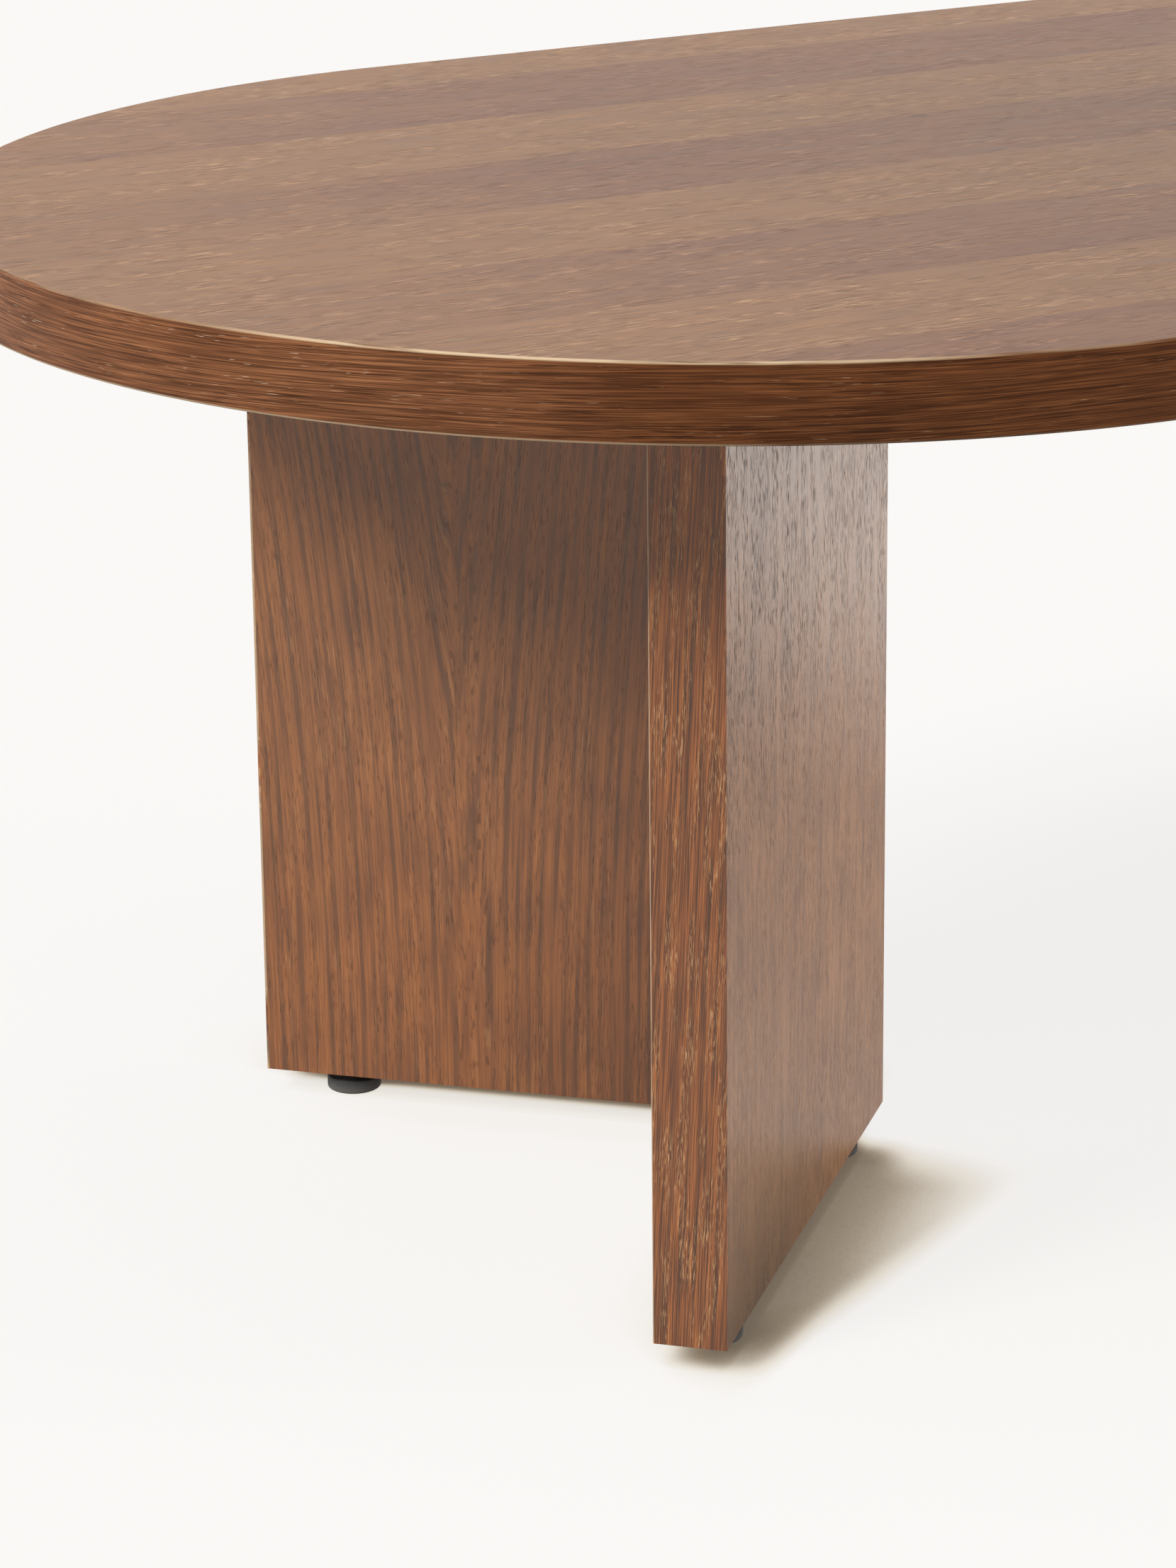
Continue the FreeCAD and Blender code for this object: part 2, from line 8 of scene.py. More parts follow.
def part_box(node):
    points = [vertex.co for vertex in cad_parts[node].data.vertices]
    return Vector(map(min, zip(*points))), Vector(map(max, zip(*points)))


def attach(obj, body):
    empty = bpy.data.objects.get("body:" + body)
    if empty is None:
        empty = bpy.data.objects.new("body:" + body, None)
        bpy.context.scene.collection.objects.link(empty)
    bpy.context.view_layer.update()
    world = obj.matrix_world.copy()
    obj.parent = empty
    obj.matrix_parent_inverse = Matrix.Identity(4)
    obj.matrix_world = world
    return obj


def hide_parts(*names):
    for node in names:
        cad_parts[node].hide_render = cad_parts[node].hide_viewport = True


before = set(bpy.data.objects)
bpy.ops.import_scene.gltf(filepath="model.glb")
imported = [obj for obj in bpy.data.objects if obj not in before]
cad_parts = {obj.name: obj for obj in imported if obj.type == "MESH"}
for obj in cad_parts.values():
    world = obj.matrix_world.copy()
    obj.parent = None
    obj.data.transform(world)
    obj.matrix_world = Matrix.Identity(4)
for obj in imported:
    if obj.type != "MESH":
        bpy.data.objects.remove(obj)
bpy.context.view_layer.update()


# Board cores
# The top and the four leg panels are coarse fibreboard, pressed from resin-bound wood chips and fibre.
# The board is cut to shape, grooved for the mitre tongues and drilled for the inserts.
# Its raw edge shows only under the feet, so the finish is bare chips with dark gaps.
class Shade:
    """One value, colour or direction on its way through a finish: the usual signs add Math nodes."""

    def __init__(self, tree, socket):
        self.tree = tree
        self.socket = socket

    def node(self, kind, settings, values, output=0):
        """Adds a node of any kind: its settings first, then a value or a link for each socket."""
        made = self.tree.nodes.new(kind)
        for name, setting in settings.items():
            if name == "stops":
                spare = made.color_ramp.elements
                while len(spare) < len(setting):
                    spare.new(1.0)
                for stop, (position, colour) in zip(spare, setting):
                    stop.position = position
                    stop.color = (*colour, 1.0)
            else:
                setattr(made, name, setting)
        for name, value in values.items():
            if isinstance(value, Shade):
                self.tree.links.new(value.socket, made.inputs[name])
            else:
                made.inputs[name].default_value = value
        return Shade(self.tree, made.outputs[output] if made.outputs else None)

    def sum_of(self, operation, first, second):
        """One Math node."""
        return self.node("ShaderNodeMath", {"operation": operation}, {0: first, 1: second})

    def __add__(self, other):
        return self.sum_of("ADD", self, other)

    def __radd__(self, other):
        return self.sum_of("ADD", other, self)

    def __sub__(self, other):
        return self.sum_of("SUBTRACT", self, other)

    def __rsub__(self, other):
        return self.sum_of("SUBTRACT", other, self)

    def __mul__(self, other):
        return self.sum_of("MULTIPLY", self, other)

    def __rmul__(self, other):
        return self.sum_of("MULTIPLY", other, self)

    def __pow__(self, other):
        return self.sum_of("POWER", self, other)

    def between(self, low, high):
        """Rises smoothly from 0 at low to 1 at high."""
        values = {"Value": self, "From Min": low, "From Max": high}
        return self.node("ShaderNodeMapRange", {"interpolation_type": "SMOOTHSTEP"}, values)

    def towards(self, colour, share, how="MIX"):
        """This colour mixed with another by a share from 0 to 1."""
        settings = {"data_type": "RGBA", "blend_type": how, "clamp_factor": True}
        return self.node("ShaderNodeMix", settings, {0: share, 6: self, 7: colour}, 2)

    def ramp(self, stops):
        """A colour picked along a row of stops by this value."""
        return self.node("ShaderNodeValToRGB", {"stops": stops}, {0: self})

    def other(self, output):
        """Another output of the node that this value comes from."""
        return Shade(self.tree, self.socket.node.outputs[output])


def open_finish(name):
    """A new material and the place on the piece, in metres, that its patterns start from."""
    material = bpy.data.materials.new(name)
    material.use_nodes = True
    tree = material.node_tree
    tree.nodes.clear()
    place = Shade(tree, tree.nodes.new("ShaderNodeTexCoord").outputs["Object"])
    return material, place


def close_finish(place, colour, roughness, height, depth, fixed):
    """Ends a finish: colour, roughness and a bump that is depth metres deep, with fixed socket values."""
    bump = place.node("ShaderNodeBump", {}, {"Height": height, "Distance": depth, "Strength": 1.0})
    values = {"Base Color": colour, "Roughness": roughness, "Normal": bump}
    values.update(fixed)
    surface = place.node("ShaderNodeBsdfPrincipled", {}, values)
    place.node("ShaderNodeOutputMaterial", {}, {"Surface": surface})


def dress(names, material):
    """Puts a finish on carried-over CAD nodes."""
    for name in names:
        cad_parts[name].material_slots[0].material = material


def speckle(place, size, detail=2.0):
    """Cloudy mottling with lumps of about this size in metres."""
    values = {"Vector": place, "Scale": 1 / size, "Detail": detail}
    return place.node("ShaderNodeTexNoise", {}, values)


SIDES = ("left", "right")
ARMS = ("front", "back")
PANELS = [f"{side}_{arm}" for side in SIDES for arm in ARMS]

chip_size = 0.0032
chip_pale = (0.47, 0.33, 0.19)
chip_brown = (0.27, 0.16, 0.08)
chip_gap = (0.09, 0.05, 0.025)
dust_size = 0.0009
chip_relief = 0.0003
board_core, place = open_finish("board_core")
chip_values = {"Vector": place, "Scale": 1 / chip_size}
chips = place.node("ShaderNodeTexVoronoi", {}, chip_values, 1)
chip_tone = place.node("ShaderNodeSeparateColor", {}, {0: chips})
gaps = place.node("ShaderNodeTexVoronoi", {"feature": "DISTANCE_TO_EDGE"}, chip_values)
dust = speckle(place, dust_size)
colour = chip_tone.ramp([(0.0, chip_brown), (1.0, chip_pale)])
colour = colour.towards((*chip_gap, 1.0), 1 - gaps.between(0.0, 0.09))
colour = colour.towards((*chip_pale, 1.0), dust.between(0.55, 0.75) * 0.4)
height = gaps.between(0.0, 0.12) + dust * 0.5
close_finish(place, colour, 0.78 + dust * 0.15, height, chip_relief, {"Specular IOR Level": 0.3})
dress(["top_core"] + [f"{panel}_panel_core" for panel in PANELS], board_core)


# Face veneer of the top
# Sliced oak 0.6 mm thick, laid with its grain along the table, stained brown and lacquered satin.
# Leaves 76 mm wide lie side by side, tan and mauve brown in turn, with dark pores and pale flecks.
def streaks(along, across, long_step, wide_step, seed, detail=2.0):
    """Soft streaks about long_step metres along the grain and wide_step across it."""
    values = {"X": along * (1 / long_step), "Y": across * (1 / wide_step), "Z": seed}
    spot = along.node("ShaderNodeCombineXYZ", {}, values)
    return spot.node("ShaderNodeTexNoise", {}, {"Vector": spot, "Scale": 1.0, "Detail": detail})


def sine(value):
    """A smooth swing between -1 and 1."""
    return value.node("ShaderNodeMath", {"operation": "SINE"}, {0: value})


wander_step = (0.30, 0.06)
cloud_step = (0.035, 0.016)
ring_bend_length = 0.16
ring_fade_length = 0.050


def stained_oak(along, across, seed, look):
    """Colour, roughness and height of lacquered brown oak whose grain runs along the first value.

    A look holds the colours and these measures in metres: fibre_step and group_step are (along, across);
    rings are (step, bend, share); dashes, pores and flecks are (along, across, start, full, share).
    """
    wander = streaks(along, across, *wander_step, seed, 1.0)
    across = across + (wander - 0.5) * look["wander"]

    def marks(name, step, detail):
        long_step, wide_step, low, high, share = look[name]
        return streaks(along, across, long_step, wide_step, seed + step, detail).between(low, high) * share

    ring_step, ring_bend, ring_share = look["rings"]
    bend = streaks(along, across, ring_bend_length, 2.2 * ring_step, seed + 5.3, 1.0)
    rings = sine(across * (2 * math.pi / ring_step) + (bend - 0.5) * ring_bend).between(-0.3, 1.0)
    fade = streaks(along, across, ring_fade_length, 1.4 * ring_step, seed + 9.1, 1.0).between(0.35, 0.65)
    rings = rings * (0.3 + fade * 0.7) * ring_share
    cloud = streaks(along, across, *cloud_step, seed + 3.1, 2.0)
    fibres = streaks(along, across, *look["fibre_step"], seed + 17.9, 2.0)
    groups = streaks(along, across, *look["group_step"], seed + 41.9, 1.0)
    tone = 0.5 + (cloud - 0.5) * look["cloud"] + (fibres - 0.5) * look["fibres"]
    dashes = marks("dashes", 11.3, 1.0)
    pores = marks("pores", 23.3, 0.0) * groups.between(0.30, 0.55)
    flecks = marks("flecks", 31.7, 0.0) * groups.between(0.42, 0.62)
    colour = tone.ramp([(0.1, look["deep"]), (0.5, look["middle"]), (0.9, look["light"])])
    colour = colour.towards((*look["streak"], 1.0), rings)
    colour = colour.towards((*look["streak"], 1.0), dashes)
    colour = colour.towards((*look["pore"], 1.0), pores)
    colour = colour.towards((*look["pale"], 1.0), flecks)
    roughness = look["rough"] + (fibres - 0.5) * 0.2 + pores * look["pore_rough"]
    height = fibres * 0.5 - dashes * 0.25 - pores
    return colour, roughness, height


top_length = 1.000
top_width = 0.550
top_height = 0.355
top_thickness = 0.025
band_thickness = 0.001
veneer_thickness = 0.0006
end_radius = top_width / 2
end_centre = top_length / 2 - end_radius
arc_points = 384
weld_distance = 1e-6
smooth_angle = math.radians(32)


def select_where(piece, kind, wanted):
    """In edit mode, selects only the edges or faces for whose every point wanted says yes."""
    bpy.ops.mesh.select_mode(type=kind)
    bpy.ops.mesh.select_all(action="DESELECT")
    bpy.ops.object.mode_set(mode="OBJECT")
    mesh = piece.data
    parts = {"EDGE": mesh.edges, "FACE": mesh.polygons}[kind]
    for part in parts:
        part.select = all(wanted(mesh.vertices[index].co) for index in part.vertices)
    bpy.ops.object.mode_set(mode="EDIT")


def apply_modifier(piece, kind, **settings):
    """Adds one modifier, sets it and applies it."""
    modifier = piece.modifiers.new(kind.lower(), kind)
    for name, value in settings.items():
        setattr(modifier, name, value)
    bpy.ops.object.modifier_apply(modifier=modifier.name)


def face_out(piece):
    """Merges doubles, turns all faces outwards and smooths what is only slightly bent."""
    bpy.ops.object.mode_set(mode="EDIT")
    bpy.ops.mesh.select_all(action="SELECT")
    bpy.ops.mesh.remove_doubles(threshold=weld_distance)
    bpy.ops.mesh.normals_make_consistent(inside=False)
    bpy.ops.object.mode_set(mode="OBJECT")
    bpy.ops.object.shade_smooth_by_angle(angle=smooth_angle)


def round_ended_sheet(name, radius, height):
    """A flat sheet in the outline of the top: one half disc, pulled to the middle and mirrored."""
    bpy.ops.object.select_all(action="DESELECT")
    bpy.ops.mesh.primitive_circle_add(
        vertices=arc_points, radius=radius, fill_type="NGON", location=(end_centre, 0, height)
    )
    piece = bpy.context.active_object
    piece.name = name
    bpy.ops.object.transform_apply(location=True, rotation=True, scale=True)
    bpy.ops.object.mode_set(mode="EDIT")
    bpy.ops.mesh.select_all(action="SELECT")
    bpy.ops.mesh.bisect(
        plane_co=(end_centre, 0, height), plane_no=(1, 0, 0), clear_inner=True, threshold=weld_distance
    )
    select_where(piece, "EDGE", lambda point: abs(point.x - end_centre) < weld_distance)
    bpy.ops.mesh.extrude_edges_move(TRANSFORM_OT_translate={"value": (-end_centre, 0, 0)})
    bpy.ops.object.mode_set(mode="OBJECT")
    apply_modifier(piece, "MIRROR", use_axis=(True, False, False), merge_threshold=1e-5)
    return piece


def thicken(piece, rise):
    """Pulls a flat sheet straight up into a closed board."""
    bpy.ops.object.mode_set(mode="EDIT")
    bpy.ops.mesh.select_all(action="SELECT")
    bpy.ops.mesh.extrude_region_move(TRANSFORM_OT_translate={"value": (0, 0, rise)})
    bpy.ops.object.mode_set(mode="OBJECT")
    face_out(piece)


oak_tones = {
    "deep": (0.100, 0.036, 0.013),
    "middle": (0.265, 0.097, 0.034),
    "light": (0.400, 0.165, 0.062),
    "streak": (0.075, 0.030, 0.013),
    "pore": (0.038, 0.015, 0.007),
    "pale": (0.62, 0.36, 0.18),
}
top_look = {
    **oak_tones,
    "deep": (0.125, 0.048, 0.015),
    "middle": (0.250, 0.107, 0.032),
    "light": (0.358, 0.170, 0.056),
    "wander": 0.008,
    "rings": (0.0040, 9.0, 0.14),
    "fibre_step": (0.034, 0.0006),
    "group_step": (0.055, 0.0090),
    "cloud": 0.30,
    "fibres": 1.2,
    "dashes": (0.036, 0.0006, 0.52, 0.64, 0.22),
    "pores": (0.0090, 0.00040, 0.58, 0.68, 0.48),
    "flecks": (0.0070, 0.00060, 0.61, 0.70, 0.60),
    "rough": 0.40,
    "pore_rough": 0.2,
}
leaf_width = 0.0765
mauve = (0.66, 0.52, 0.52)
right_shade_tone = (0.72, 0.70, 0.64)
leaf_patch = (0.22, 0.07)
pale_end = (-0.47, -0.24)
right_shade_run = (-0.44, 0.0)
shade_thinning_back = (0.08, 0.24)
veneer_relief = 0.00006
top_veneer, place = open_finish("top_veneer")
lengthwise = place.node("ShaderNodeSeparateXYZ", {}, {0: place})
crosswise = lengthwise.other("Y")
colour, roughness, height = stained_oak(lengthwise, crosswise, 1.0, top_look)
leaf_turn = sine(crosswise * (math.pi / leaf_width))
leaf_strength = 0.55 + streaks(lengthwise, crosswise, *leaf_patch, 71.0, 1.0).between(0.3, 0.7) * 0.45
leaf_fade = 0.35 + lengthwise.between(*pale_end) * 0.65
dark_leaf = leaf_turn.between(-0.05, 0.05) * leaf_strength * leaf_fade
colour = colour.towards((*mauve, 1.0), dark_leaf, "MULTIPLY")
# Painted shade: the right half of the top is darkened, less so towards the back, for light that falls off
# there.
painted_right_shade = lengthwise.between(*right_shade_run) * (1 - crosswise.between(*shade_thinning_back) * 0.6)
colour = colour.towards((*right_shade_tone, 1.0), painted_right_shade, "MULTIPLY")
close_finish(place, colour, roughness, height, veneer_relief, {"IOR": 1.44})

top_sheet = round_ended_sheet(
    "top_face_veneer", end_radius - band_thickness, top_height - veneer_thickness
)
thicken(top_sheet, veneer_thickness)
top_sheet.data.materials.append(top_veneer)
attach(top_sheet, "table")
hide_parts("top_veneer")


# Underside veneer of the top
# A balancing sheet of the same oak, plainer and less lacquered, keeps the top flat.
# It is drilled for the six threaded inserts that take the leg bolts.
insert_radius = 0.005
bolt_near = 0.045
bolt_far = 0.105
corner_from_middle = 0.168
drill_points = 64
drill_length = 0.004
underside = top_height - top_thickness

under_look = {**top_look, "middle": (0.24, 0.095, 0.031), "rough": 0.55}
under_veneer, place = open_finish("underside_veneer")
lengthwise = place.node("ShaderNodeSeparateXYZ", {}, {0: place})
colour, roughness, height = stained_oak(lengthwise, lengthwise.other("Y"), 57.0, under_look)
close_finish(place, colour, roughness, height, veneer_relief, {"IOR": 1.45})

under_sheet = round_ended_sheet("underside_face_veneer", end_radius - band_thickness, underside)
thicken(under_sheet, veneer_thickness)
bolt_spots = [(bolt_near, bolt_near), (bolt_far, bolt_near), (bolt_near, bolt_far)]
for outwards in (-1, 1):
    for first, second in bolt_spots:
        bolt_x = outwards * (corner_from_middle + (first + second) / math.sqrt(2))
        bolt_y = (first - second) / math.sqrt(2)
        bpy.ops.object.select_all(action="DESELECT")
        bpy.ops.mesh.primitive_cylinder_add(
            vertices=drill_points, radius=insert_radius, depth=drill_length,
            location=(bolt_x, bolt_y, underside),
        )
        drill = bpy.context.active_object
        bpy.ops.object.select_all(action="DESELECT")
        under_sheet.select_set(True)
        bpy.context.view_layer.objects.active = under_sheet
        apply_modifier(under_sheet, "BOOLEAN", operation="DIFFERENCE", object=drill, solver="EXACT")
        bpy.data.objects.remove(drill)
face_out(under_sheet)
under_sheet.data.materials.append(under_veneer)
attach(under_sheet, "table")
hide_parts("underside_veneer")


# Edge band of the top
# A strip of oak 1 mm thick, glued right round the edge with its grain along it and butted at the back.
# Both outer arrises are eased by hand; their thin pale lines are partly rubbed wood and partly a painted
# highlight.
arris_radius = 0.0009
arris_steps = 4
band_look = {
    **oak_tones,
    "deep": (0.100, 0.033, 0.011),
    "middle": (0.243, 0.096, 0.042),
    "light": (0.414, 0.180, 0.080),
    "streak": (0.062, 0.022, 0.010),
    "pale": (0.70, 0.52, 0.38),
    "wander": 0.010,
    "rings": (0.0024, 7.0, 0.38),
    "fibre_step": (0.030, 0.00036),
    "group_step": (0.060, 0.0030),
    "cloud": 0.4,
    "fibres": 1.6,
    "dashes": (0.045, 0.00042, 0.51, 0.61, 0.60),
    "pores": (0.0120, 0.00028, 0.58, 0.68, 0.60),
    "flecks": (0.0060, 0.00022, 0.78, 0.83, 0.90),
    "rough": 0.42,
    "pore_rough": 0.2,
}
rubbed_and_highlit_oak = (0.72, 0.55, 0.36)
band_relief = 0.00008
band_slope = 0.03
swell_length = 0.17
swell_start = 2.0
swell_rise = 0.010
drift_length = 0.80
drift_start = 0.885
grain_and_shade_tone = (0.64, 0.56, 0.46)
joint_blend_start = 0.45
joint_blend_end = 0.10
rub_step = (0.045, 0.004)
arris_start = 0.0010
arris_full = 0.0003
top_wear_start = 0.788
top_wear_length = 0.40
low_wear_start = 0.56
low_wear_length = 0.80

edge_band = round_ended_sheet("top_edge_lipping", end_radius, underside)
bpy.ops.object.mode_set(mode="EDIT")
bpy.ops.mesh.select_mode(type="FACE")
bpy.ops.mesh.select_all(action="SELECT")
bpy.ops.mesh.inset(thickness=band_thickness, depth=0, use_boundary=True)
bpy.ops.mesh.delete(type="FACE")
bpy.ops.object.mode_set(mode="OBJECT")
thicken(edge_band, top_thickness)


def distance_out(point):
    """How far a point lies from the line between the two end centres."""
    return math.hypot(max(abs(point.x) - end_centre, 0), point.y)


bpy.ops.object.mode_set(mode="EDIT")
select_where(edge_band, "EDGE", lambda point: distance_out(point) > end_radius - 1e-4)
bpy.ops.object.mode_set(mode="OBJECT")
for edge in edge_band.data.edges:
    first, second = (edge_band.data.vertices[index].co for index in edge.vertices)
    if abs(first.z - second.z) > 1e-5:
        edge.select = False
bpy.ops.object.mode_set(mode="EDIT")
bpy.ops.mesh.bevel(offset=arris_radius, segments=arris_steps, profile=0.5, affect="EDGES")
bpy.ops.object.mode_set(mode="OBJECT")
face_out(edge_band)

quarter_run = math.pi * end_radius / 2
whole_run = 4 * end_centre + 4 * quarter_run
band_middle = (top_height + underside) / 2


def run_round(point):
    """How far along the band a point lies, from the butt joint at the back, left end first."""
    if abs(point.x) <= end_centre:
        if point.y < 0:
            return 2 * end_centre + 2 * quarter_run + point.x
        return -point.x if point.x <= 0 else whole_run - point.x
    if point.x < 0:
        turned = math.atan2(point.x + end_centre, point.y)
        return end_centre - end_radius * turned
    turned = math.atan2(point.x - end_centre, -point.y)
    return 3 * end_centre + 2 * quarter_run + end_radius * turned


band_map = edge_band.data.uv_layers.new(name="band_run")
for face in edge_band.data.polygons:
    for loop in face.loop_indices:
        point = edge_band.data.vertices[edge_band.data.loops[loop].vertex_index].co
        run = run_round(point)
        if face.center.x > 0 and face.center.y > 0 and abs(point.x) < weld_distance:
            run = whole_run
        inwards = end_radius - distance_out(point)
        outwards = 1 if point.z > band_middle else -1
        band_map.data[loop].uv = (run, point.z + inwards * outwards)

edge_finish, place = open_finish("top_edge_band")
band_place = place.node("ShaderNodeUVMap", {"uv_map": "band_run"}, {})
along_band = place.node("ShaderNodeSeparateXYZ", {}, {0: band_place})
up_band = along_band.other("Y")
swell = sine(along_band * (1 / swell_length) - swell_start)
sloped = up_band + along_band * band_slope + swell * swell_rise
colour, roughness, height = stained_oak(along_band, sloped, 83.0, band_look)
# The band drifts darker and lighter along its run: partly the wood's own tone, partly painted shade that
# evens out how the light falls round the band.
grain_and_shade_drift = sine((along_band - drift_start) * (2 * math.pi / drift_length)).between(-0.27, 0.27)
grain_and_shade_drift = grain_and_shade_drift * (1 - along_band.between(whole_run - joint_blend_start, whole_run - joint_blend_end))
colour = colour.towards((*grain_and_shade_tone, 1.0), grain_and_shade_drift, "MULTIPLY")
rubbed = streaks(along_band, up_band, *rub_step, 131.0, 2.0).between(0.32, 0.50)
top_wear = sine((along_band - top_wear_start) * (2 * math.pi / top_wear_length)).between(-0.6, 0.6)
low_wear = sine((along_band - low_wear_start) * (2 * math.pi / low_wear_length)).between(-0.3, 0.5)
top_arris = up_band.between(top_height - arris_start, top_height - arris_full) * rubbed
low_arris = (underside - up_band).between(-arris_start, -arris_full) * rubbed
# Pale arris lines: partly rubbed bare wood, partly a painted highlight where the eased edge catches the
# light.
wear_and_highlight = top_arris * (0.25 + top_wear * 0.6) + low_arris * (0.15 + low_wear * 0.6)
colour = colour.towards((*rubbed_and_highlit_oak, 1.0), wear_and_highlight)
close_finish(place, colour, roughness, height, band_relief, {"IOR": 1.5, "Specular IOR Level": 0.1})
edge_band.data.materials.append(edge_finish)
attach(edge_band, "table")
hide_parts("top_edge_band")


# Leg panel veneers
# Sliced oak, stained and lacquered, is glued with upright grain to both faces of each leg panel.
# The inner leaves are crown cut, so their grain lines close to a V that points down.
# The outer leaves are plainer, with short dark pores that fade towards the foot, as the gloss does.
def panel_place(place, side, arm):
    """How far a spot lies along the arm from the V's corner, through the panel, and up from the floor."""
    wide_x = place.node("ShaderNodeSeparateXYZ", {}, {0: place})
    wide_y = wide_x.other("Y")
    out_x = -1 if side == "left" else 1
    out_y = -1 if arm == "front" else 1
    reach = (wide_x * out_x + wide_y * out_y - corner_from_middle) * (1 / math.sqrt(2))
    through = (wide_x * out_x - wide_y * out_y - corner_from_middle) * (1 / math.sqrt(2))
    return reach, through, wide_x.other("Z")


leg_look = {
    **oak_tones,
    "deep": (0.130, 0.050, 0.020),
    "middle": (0.297, 0.118, 0.045),
    "light": (0.446, 0.193, 0.073),
    "streak": (0.085, 0.040, 0.021),
    "wander": 0.006,
    "rings": (0.0045, 8.0, 0.68),
    "fibre_step": (0.030, 0.0006),
    "group_step": (0.060, 0.0060),
    "cloud": 0.6,
    "fibres": 0.9,
    "dashes": (0.040, 0.0009, 0.53, 0.66, 0.34),
    "pores": (0.0050, 0.00045, 0.62, 0.70, 0.45),
    "flecks": (0.0120, 0.00050, 0.66, 0.74, 0.20),
    "rough": 0.42,
    "pore_rough": 0.2,
}
outer_look = {
    **leg_look,
    "middle": (0.470, 0.200, 0.070),
    "light": (0.640, 0.290, 0.108),
    "rings": (0.0060, 8.0, 0.25),
    "fibre_step": (0.009, 0.0005),
    "dashes": (0.012, 0.0008, 0.52, 0.68, 0.30),
    "rough": 0.12,
    "pore_rough": 0.45,
}
outer_pores = (0.0040, 0.00050, 0.55, 0.64)
pore_rise = (0.13, 0.25)
pore_reach = (0.05, 0.20)
# Where each crown lies along its arm, then how far its rings lean on the outer and the inner half.
crowns = {
    "left_back": (0.150, 0.13, 0.10),
    "left_front": (0.135, 0.10, 0.060),
    "right_front": (0.100, 0.05, 0.120),
    "right_back": (0.120, 0.11, 0.070),
}
crown_round = 0.008
corner_shade_tone = (0.55, 0.54, 0.52)
low_reflection_tone = (1.00, 0.91, 0.79)
foot_shade_tone = (0.40, 0.44, 0.46)
end_shade_tone = (0.76, 0.76, 0.76)
corner_shade_reach = (0.05, 0.19)
corner_shade_rise = (0.02, 0.18)
low_reflection_rise = (0.04, 0.18)
end_shade_reach = (0.0, 0.23)
foot_shade_rise = (0.005, 0.085)
foot_shade_reach = (0.04, 0.20)
outer_slope = 0.02
outer_relief = 0.00010
for number, panel in enumerate(PANELS):
    crown, outer_lean, inner_lean = crowns[panel]
    inner_finish, place = open_finish(f"{panel}_inner_veneer")
    reach, through, upright = panel_place(place, *panel.split("_"))
    offset = reach - crown
    bowed = (offset * offset + crown_round**2) ** 0.5
    outer_half = offset.between(-crown_round, crown_round)
    lean = inner_lean + outer_half * (outer_lean - inner_lean)
    across = bowed - lean * upright * upright * 2.0
    seed = 101.0 + 13 * number + outer_half * 5.0
    colour, roughness, height = stained_oak(upright, across, seed, leg_look)
    # Painted shade in the low corner of each inner face, next to the other panel of the V.
    painted_corner_shade = (1 - reach.between(*corner_shade_reach)) * (1 - upright.between(*corner_shade_rise))
    colour = colour.towards((*corner_shade_tone, 1.0), painted_corner_shade, "MULTIPLY")
    # Painted: the inner faces turn warmer towards the foot, standing in for the weaker pale reflection
    # there.
    colour = colour.towards((*low_reflection_tone, 1.0), 1 - upright.between(*low_reflection_rise), "MULTIPLY")
    close_finish(place, colour, roughness, height, veneer_relief, {"IOR": 1.66})
    dress([f"{panel}_inner_veneer"], inner_finish)

    outer_finish, place = open_finish(f"{panel}_outer_veneer")
    reach, through, upright = panel_place(place, *panel.split("_"))
    pore_share = 0.40 + upright.between(*pore_rise) * (0.38 + reach.between(*pore_reach) * 0.22)
    panel_look = {**outer_look, "pores": (*outer_pores, pore_share)}
    leaned = reach + upright * outer_slope
    colour, roughness, height = stained_oak(upright, leaned, 211.0 + 17 * number, panel_look)
    # Painted shade: the outer faces darken towards the end band, evening out how the light falls along
    # them.
    colour = colour.towards((*end_shade_tone, 1.0), reach.between(*end_shade_reach), "MULTIPLY")
    # Painted shade at the foot of the outer faces, where the floor's contact shadow falls; strongest on
    # the left front panel.
    foot_shade_share = 1.0 if panel == "left_front" else 0.35
    painted_foot_shade = (1 - upright.between(*foot_shade_rise)) * foot_shade_share
    painted_foot_shade = painted_foot_shade * (0.2 + reach.between(*foot_shade_reach) * 0.8)
    colour = colour.towards((*foot_shade_tone, 1.0), painted_foot_shade, "MULTIPLY")
    gloss = 0.03 + upright.between(*pore_rise) * 0.13
    lacquer = {"IOR": 1.75, "Coat Weight": gloss, "Coat Roughness": 0.1}
    close_finish(place, colour, roughness, height, outer_relief, lacquer)
    dress([f"{panel}_outer_veneer"], outer_finish)


# Leg end bands
# Thick oak strips close the raw end of each panel, with eased arrises and upright grain.
# Cut nearer the sapwood, they are redder, with strong dark streaks and many pale open pores.
end_look = {
    **oak_tones,
    "deep": (0.120, 0.038, 0.013),
    "middle": (0.290, 0.094, 0.030),
    "light": (0.470, 0.178, 0.059),
    "streak": (0.045, 0.018, 0.009),
    "pale": (0.62, 0.36, 0.17),
    "wander": 0.003,
    "rings": (0.0042, 6.0, 0.58),
    "fibre_step": (0.022, 0.00030),
    "group_step": (0.030, 0.0040),
    "cloud": 0.3,
    "fibres": 2.2,
    "dashes": (0.036, 0.00040, 0.52, 0.61, 0.75),
    "pores": (0.0080, 0.00025, 0.60, 0.70, 0.45),
    "flecks": (0.0036, 0.00017, 0.61, 0.69, 0.80),
    "rough": 0.42,
    "pore_rough": 0.2,
}
panel_thickness = 0.025
end_slope = 0.05
end_relief = 0.00007
end_rub_step = (0.050, 0.004)
end_arris_start = 0.0006
end_arris_full = 0.0002
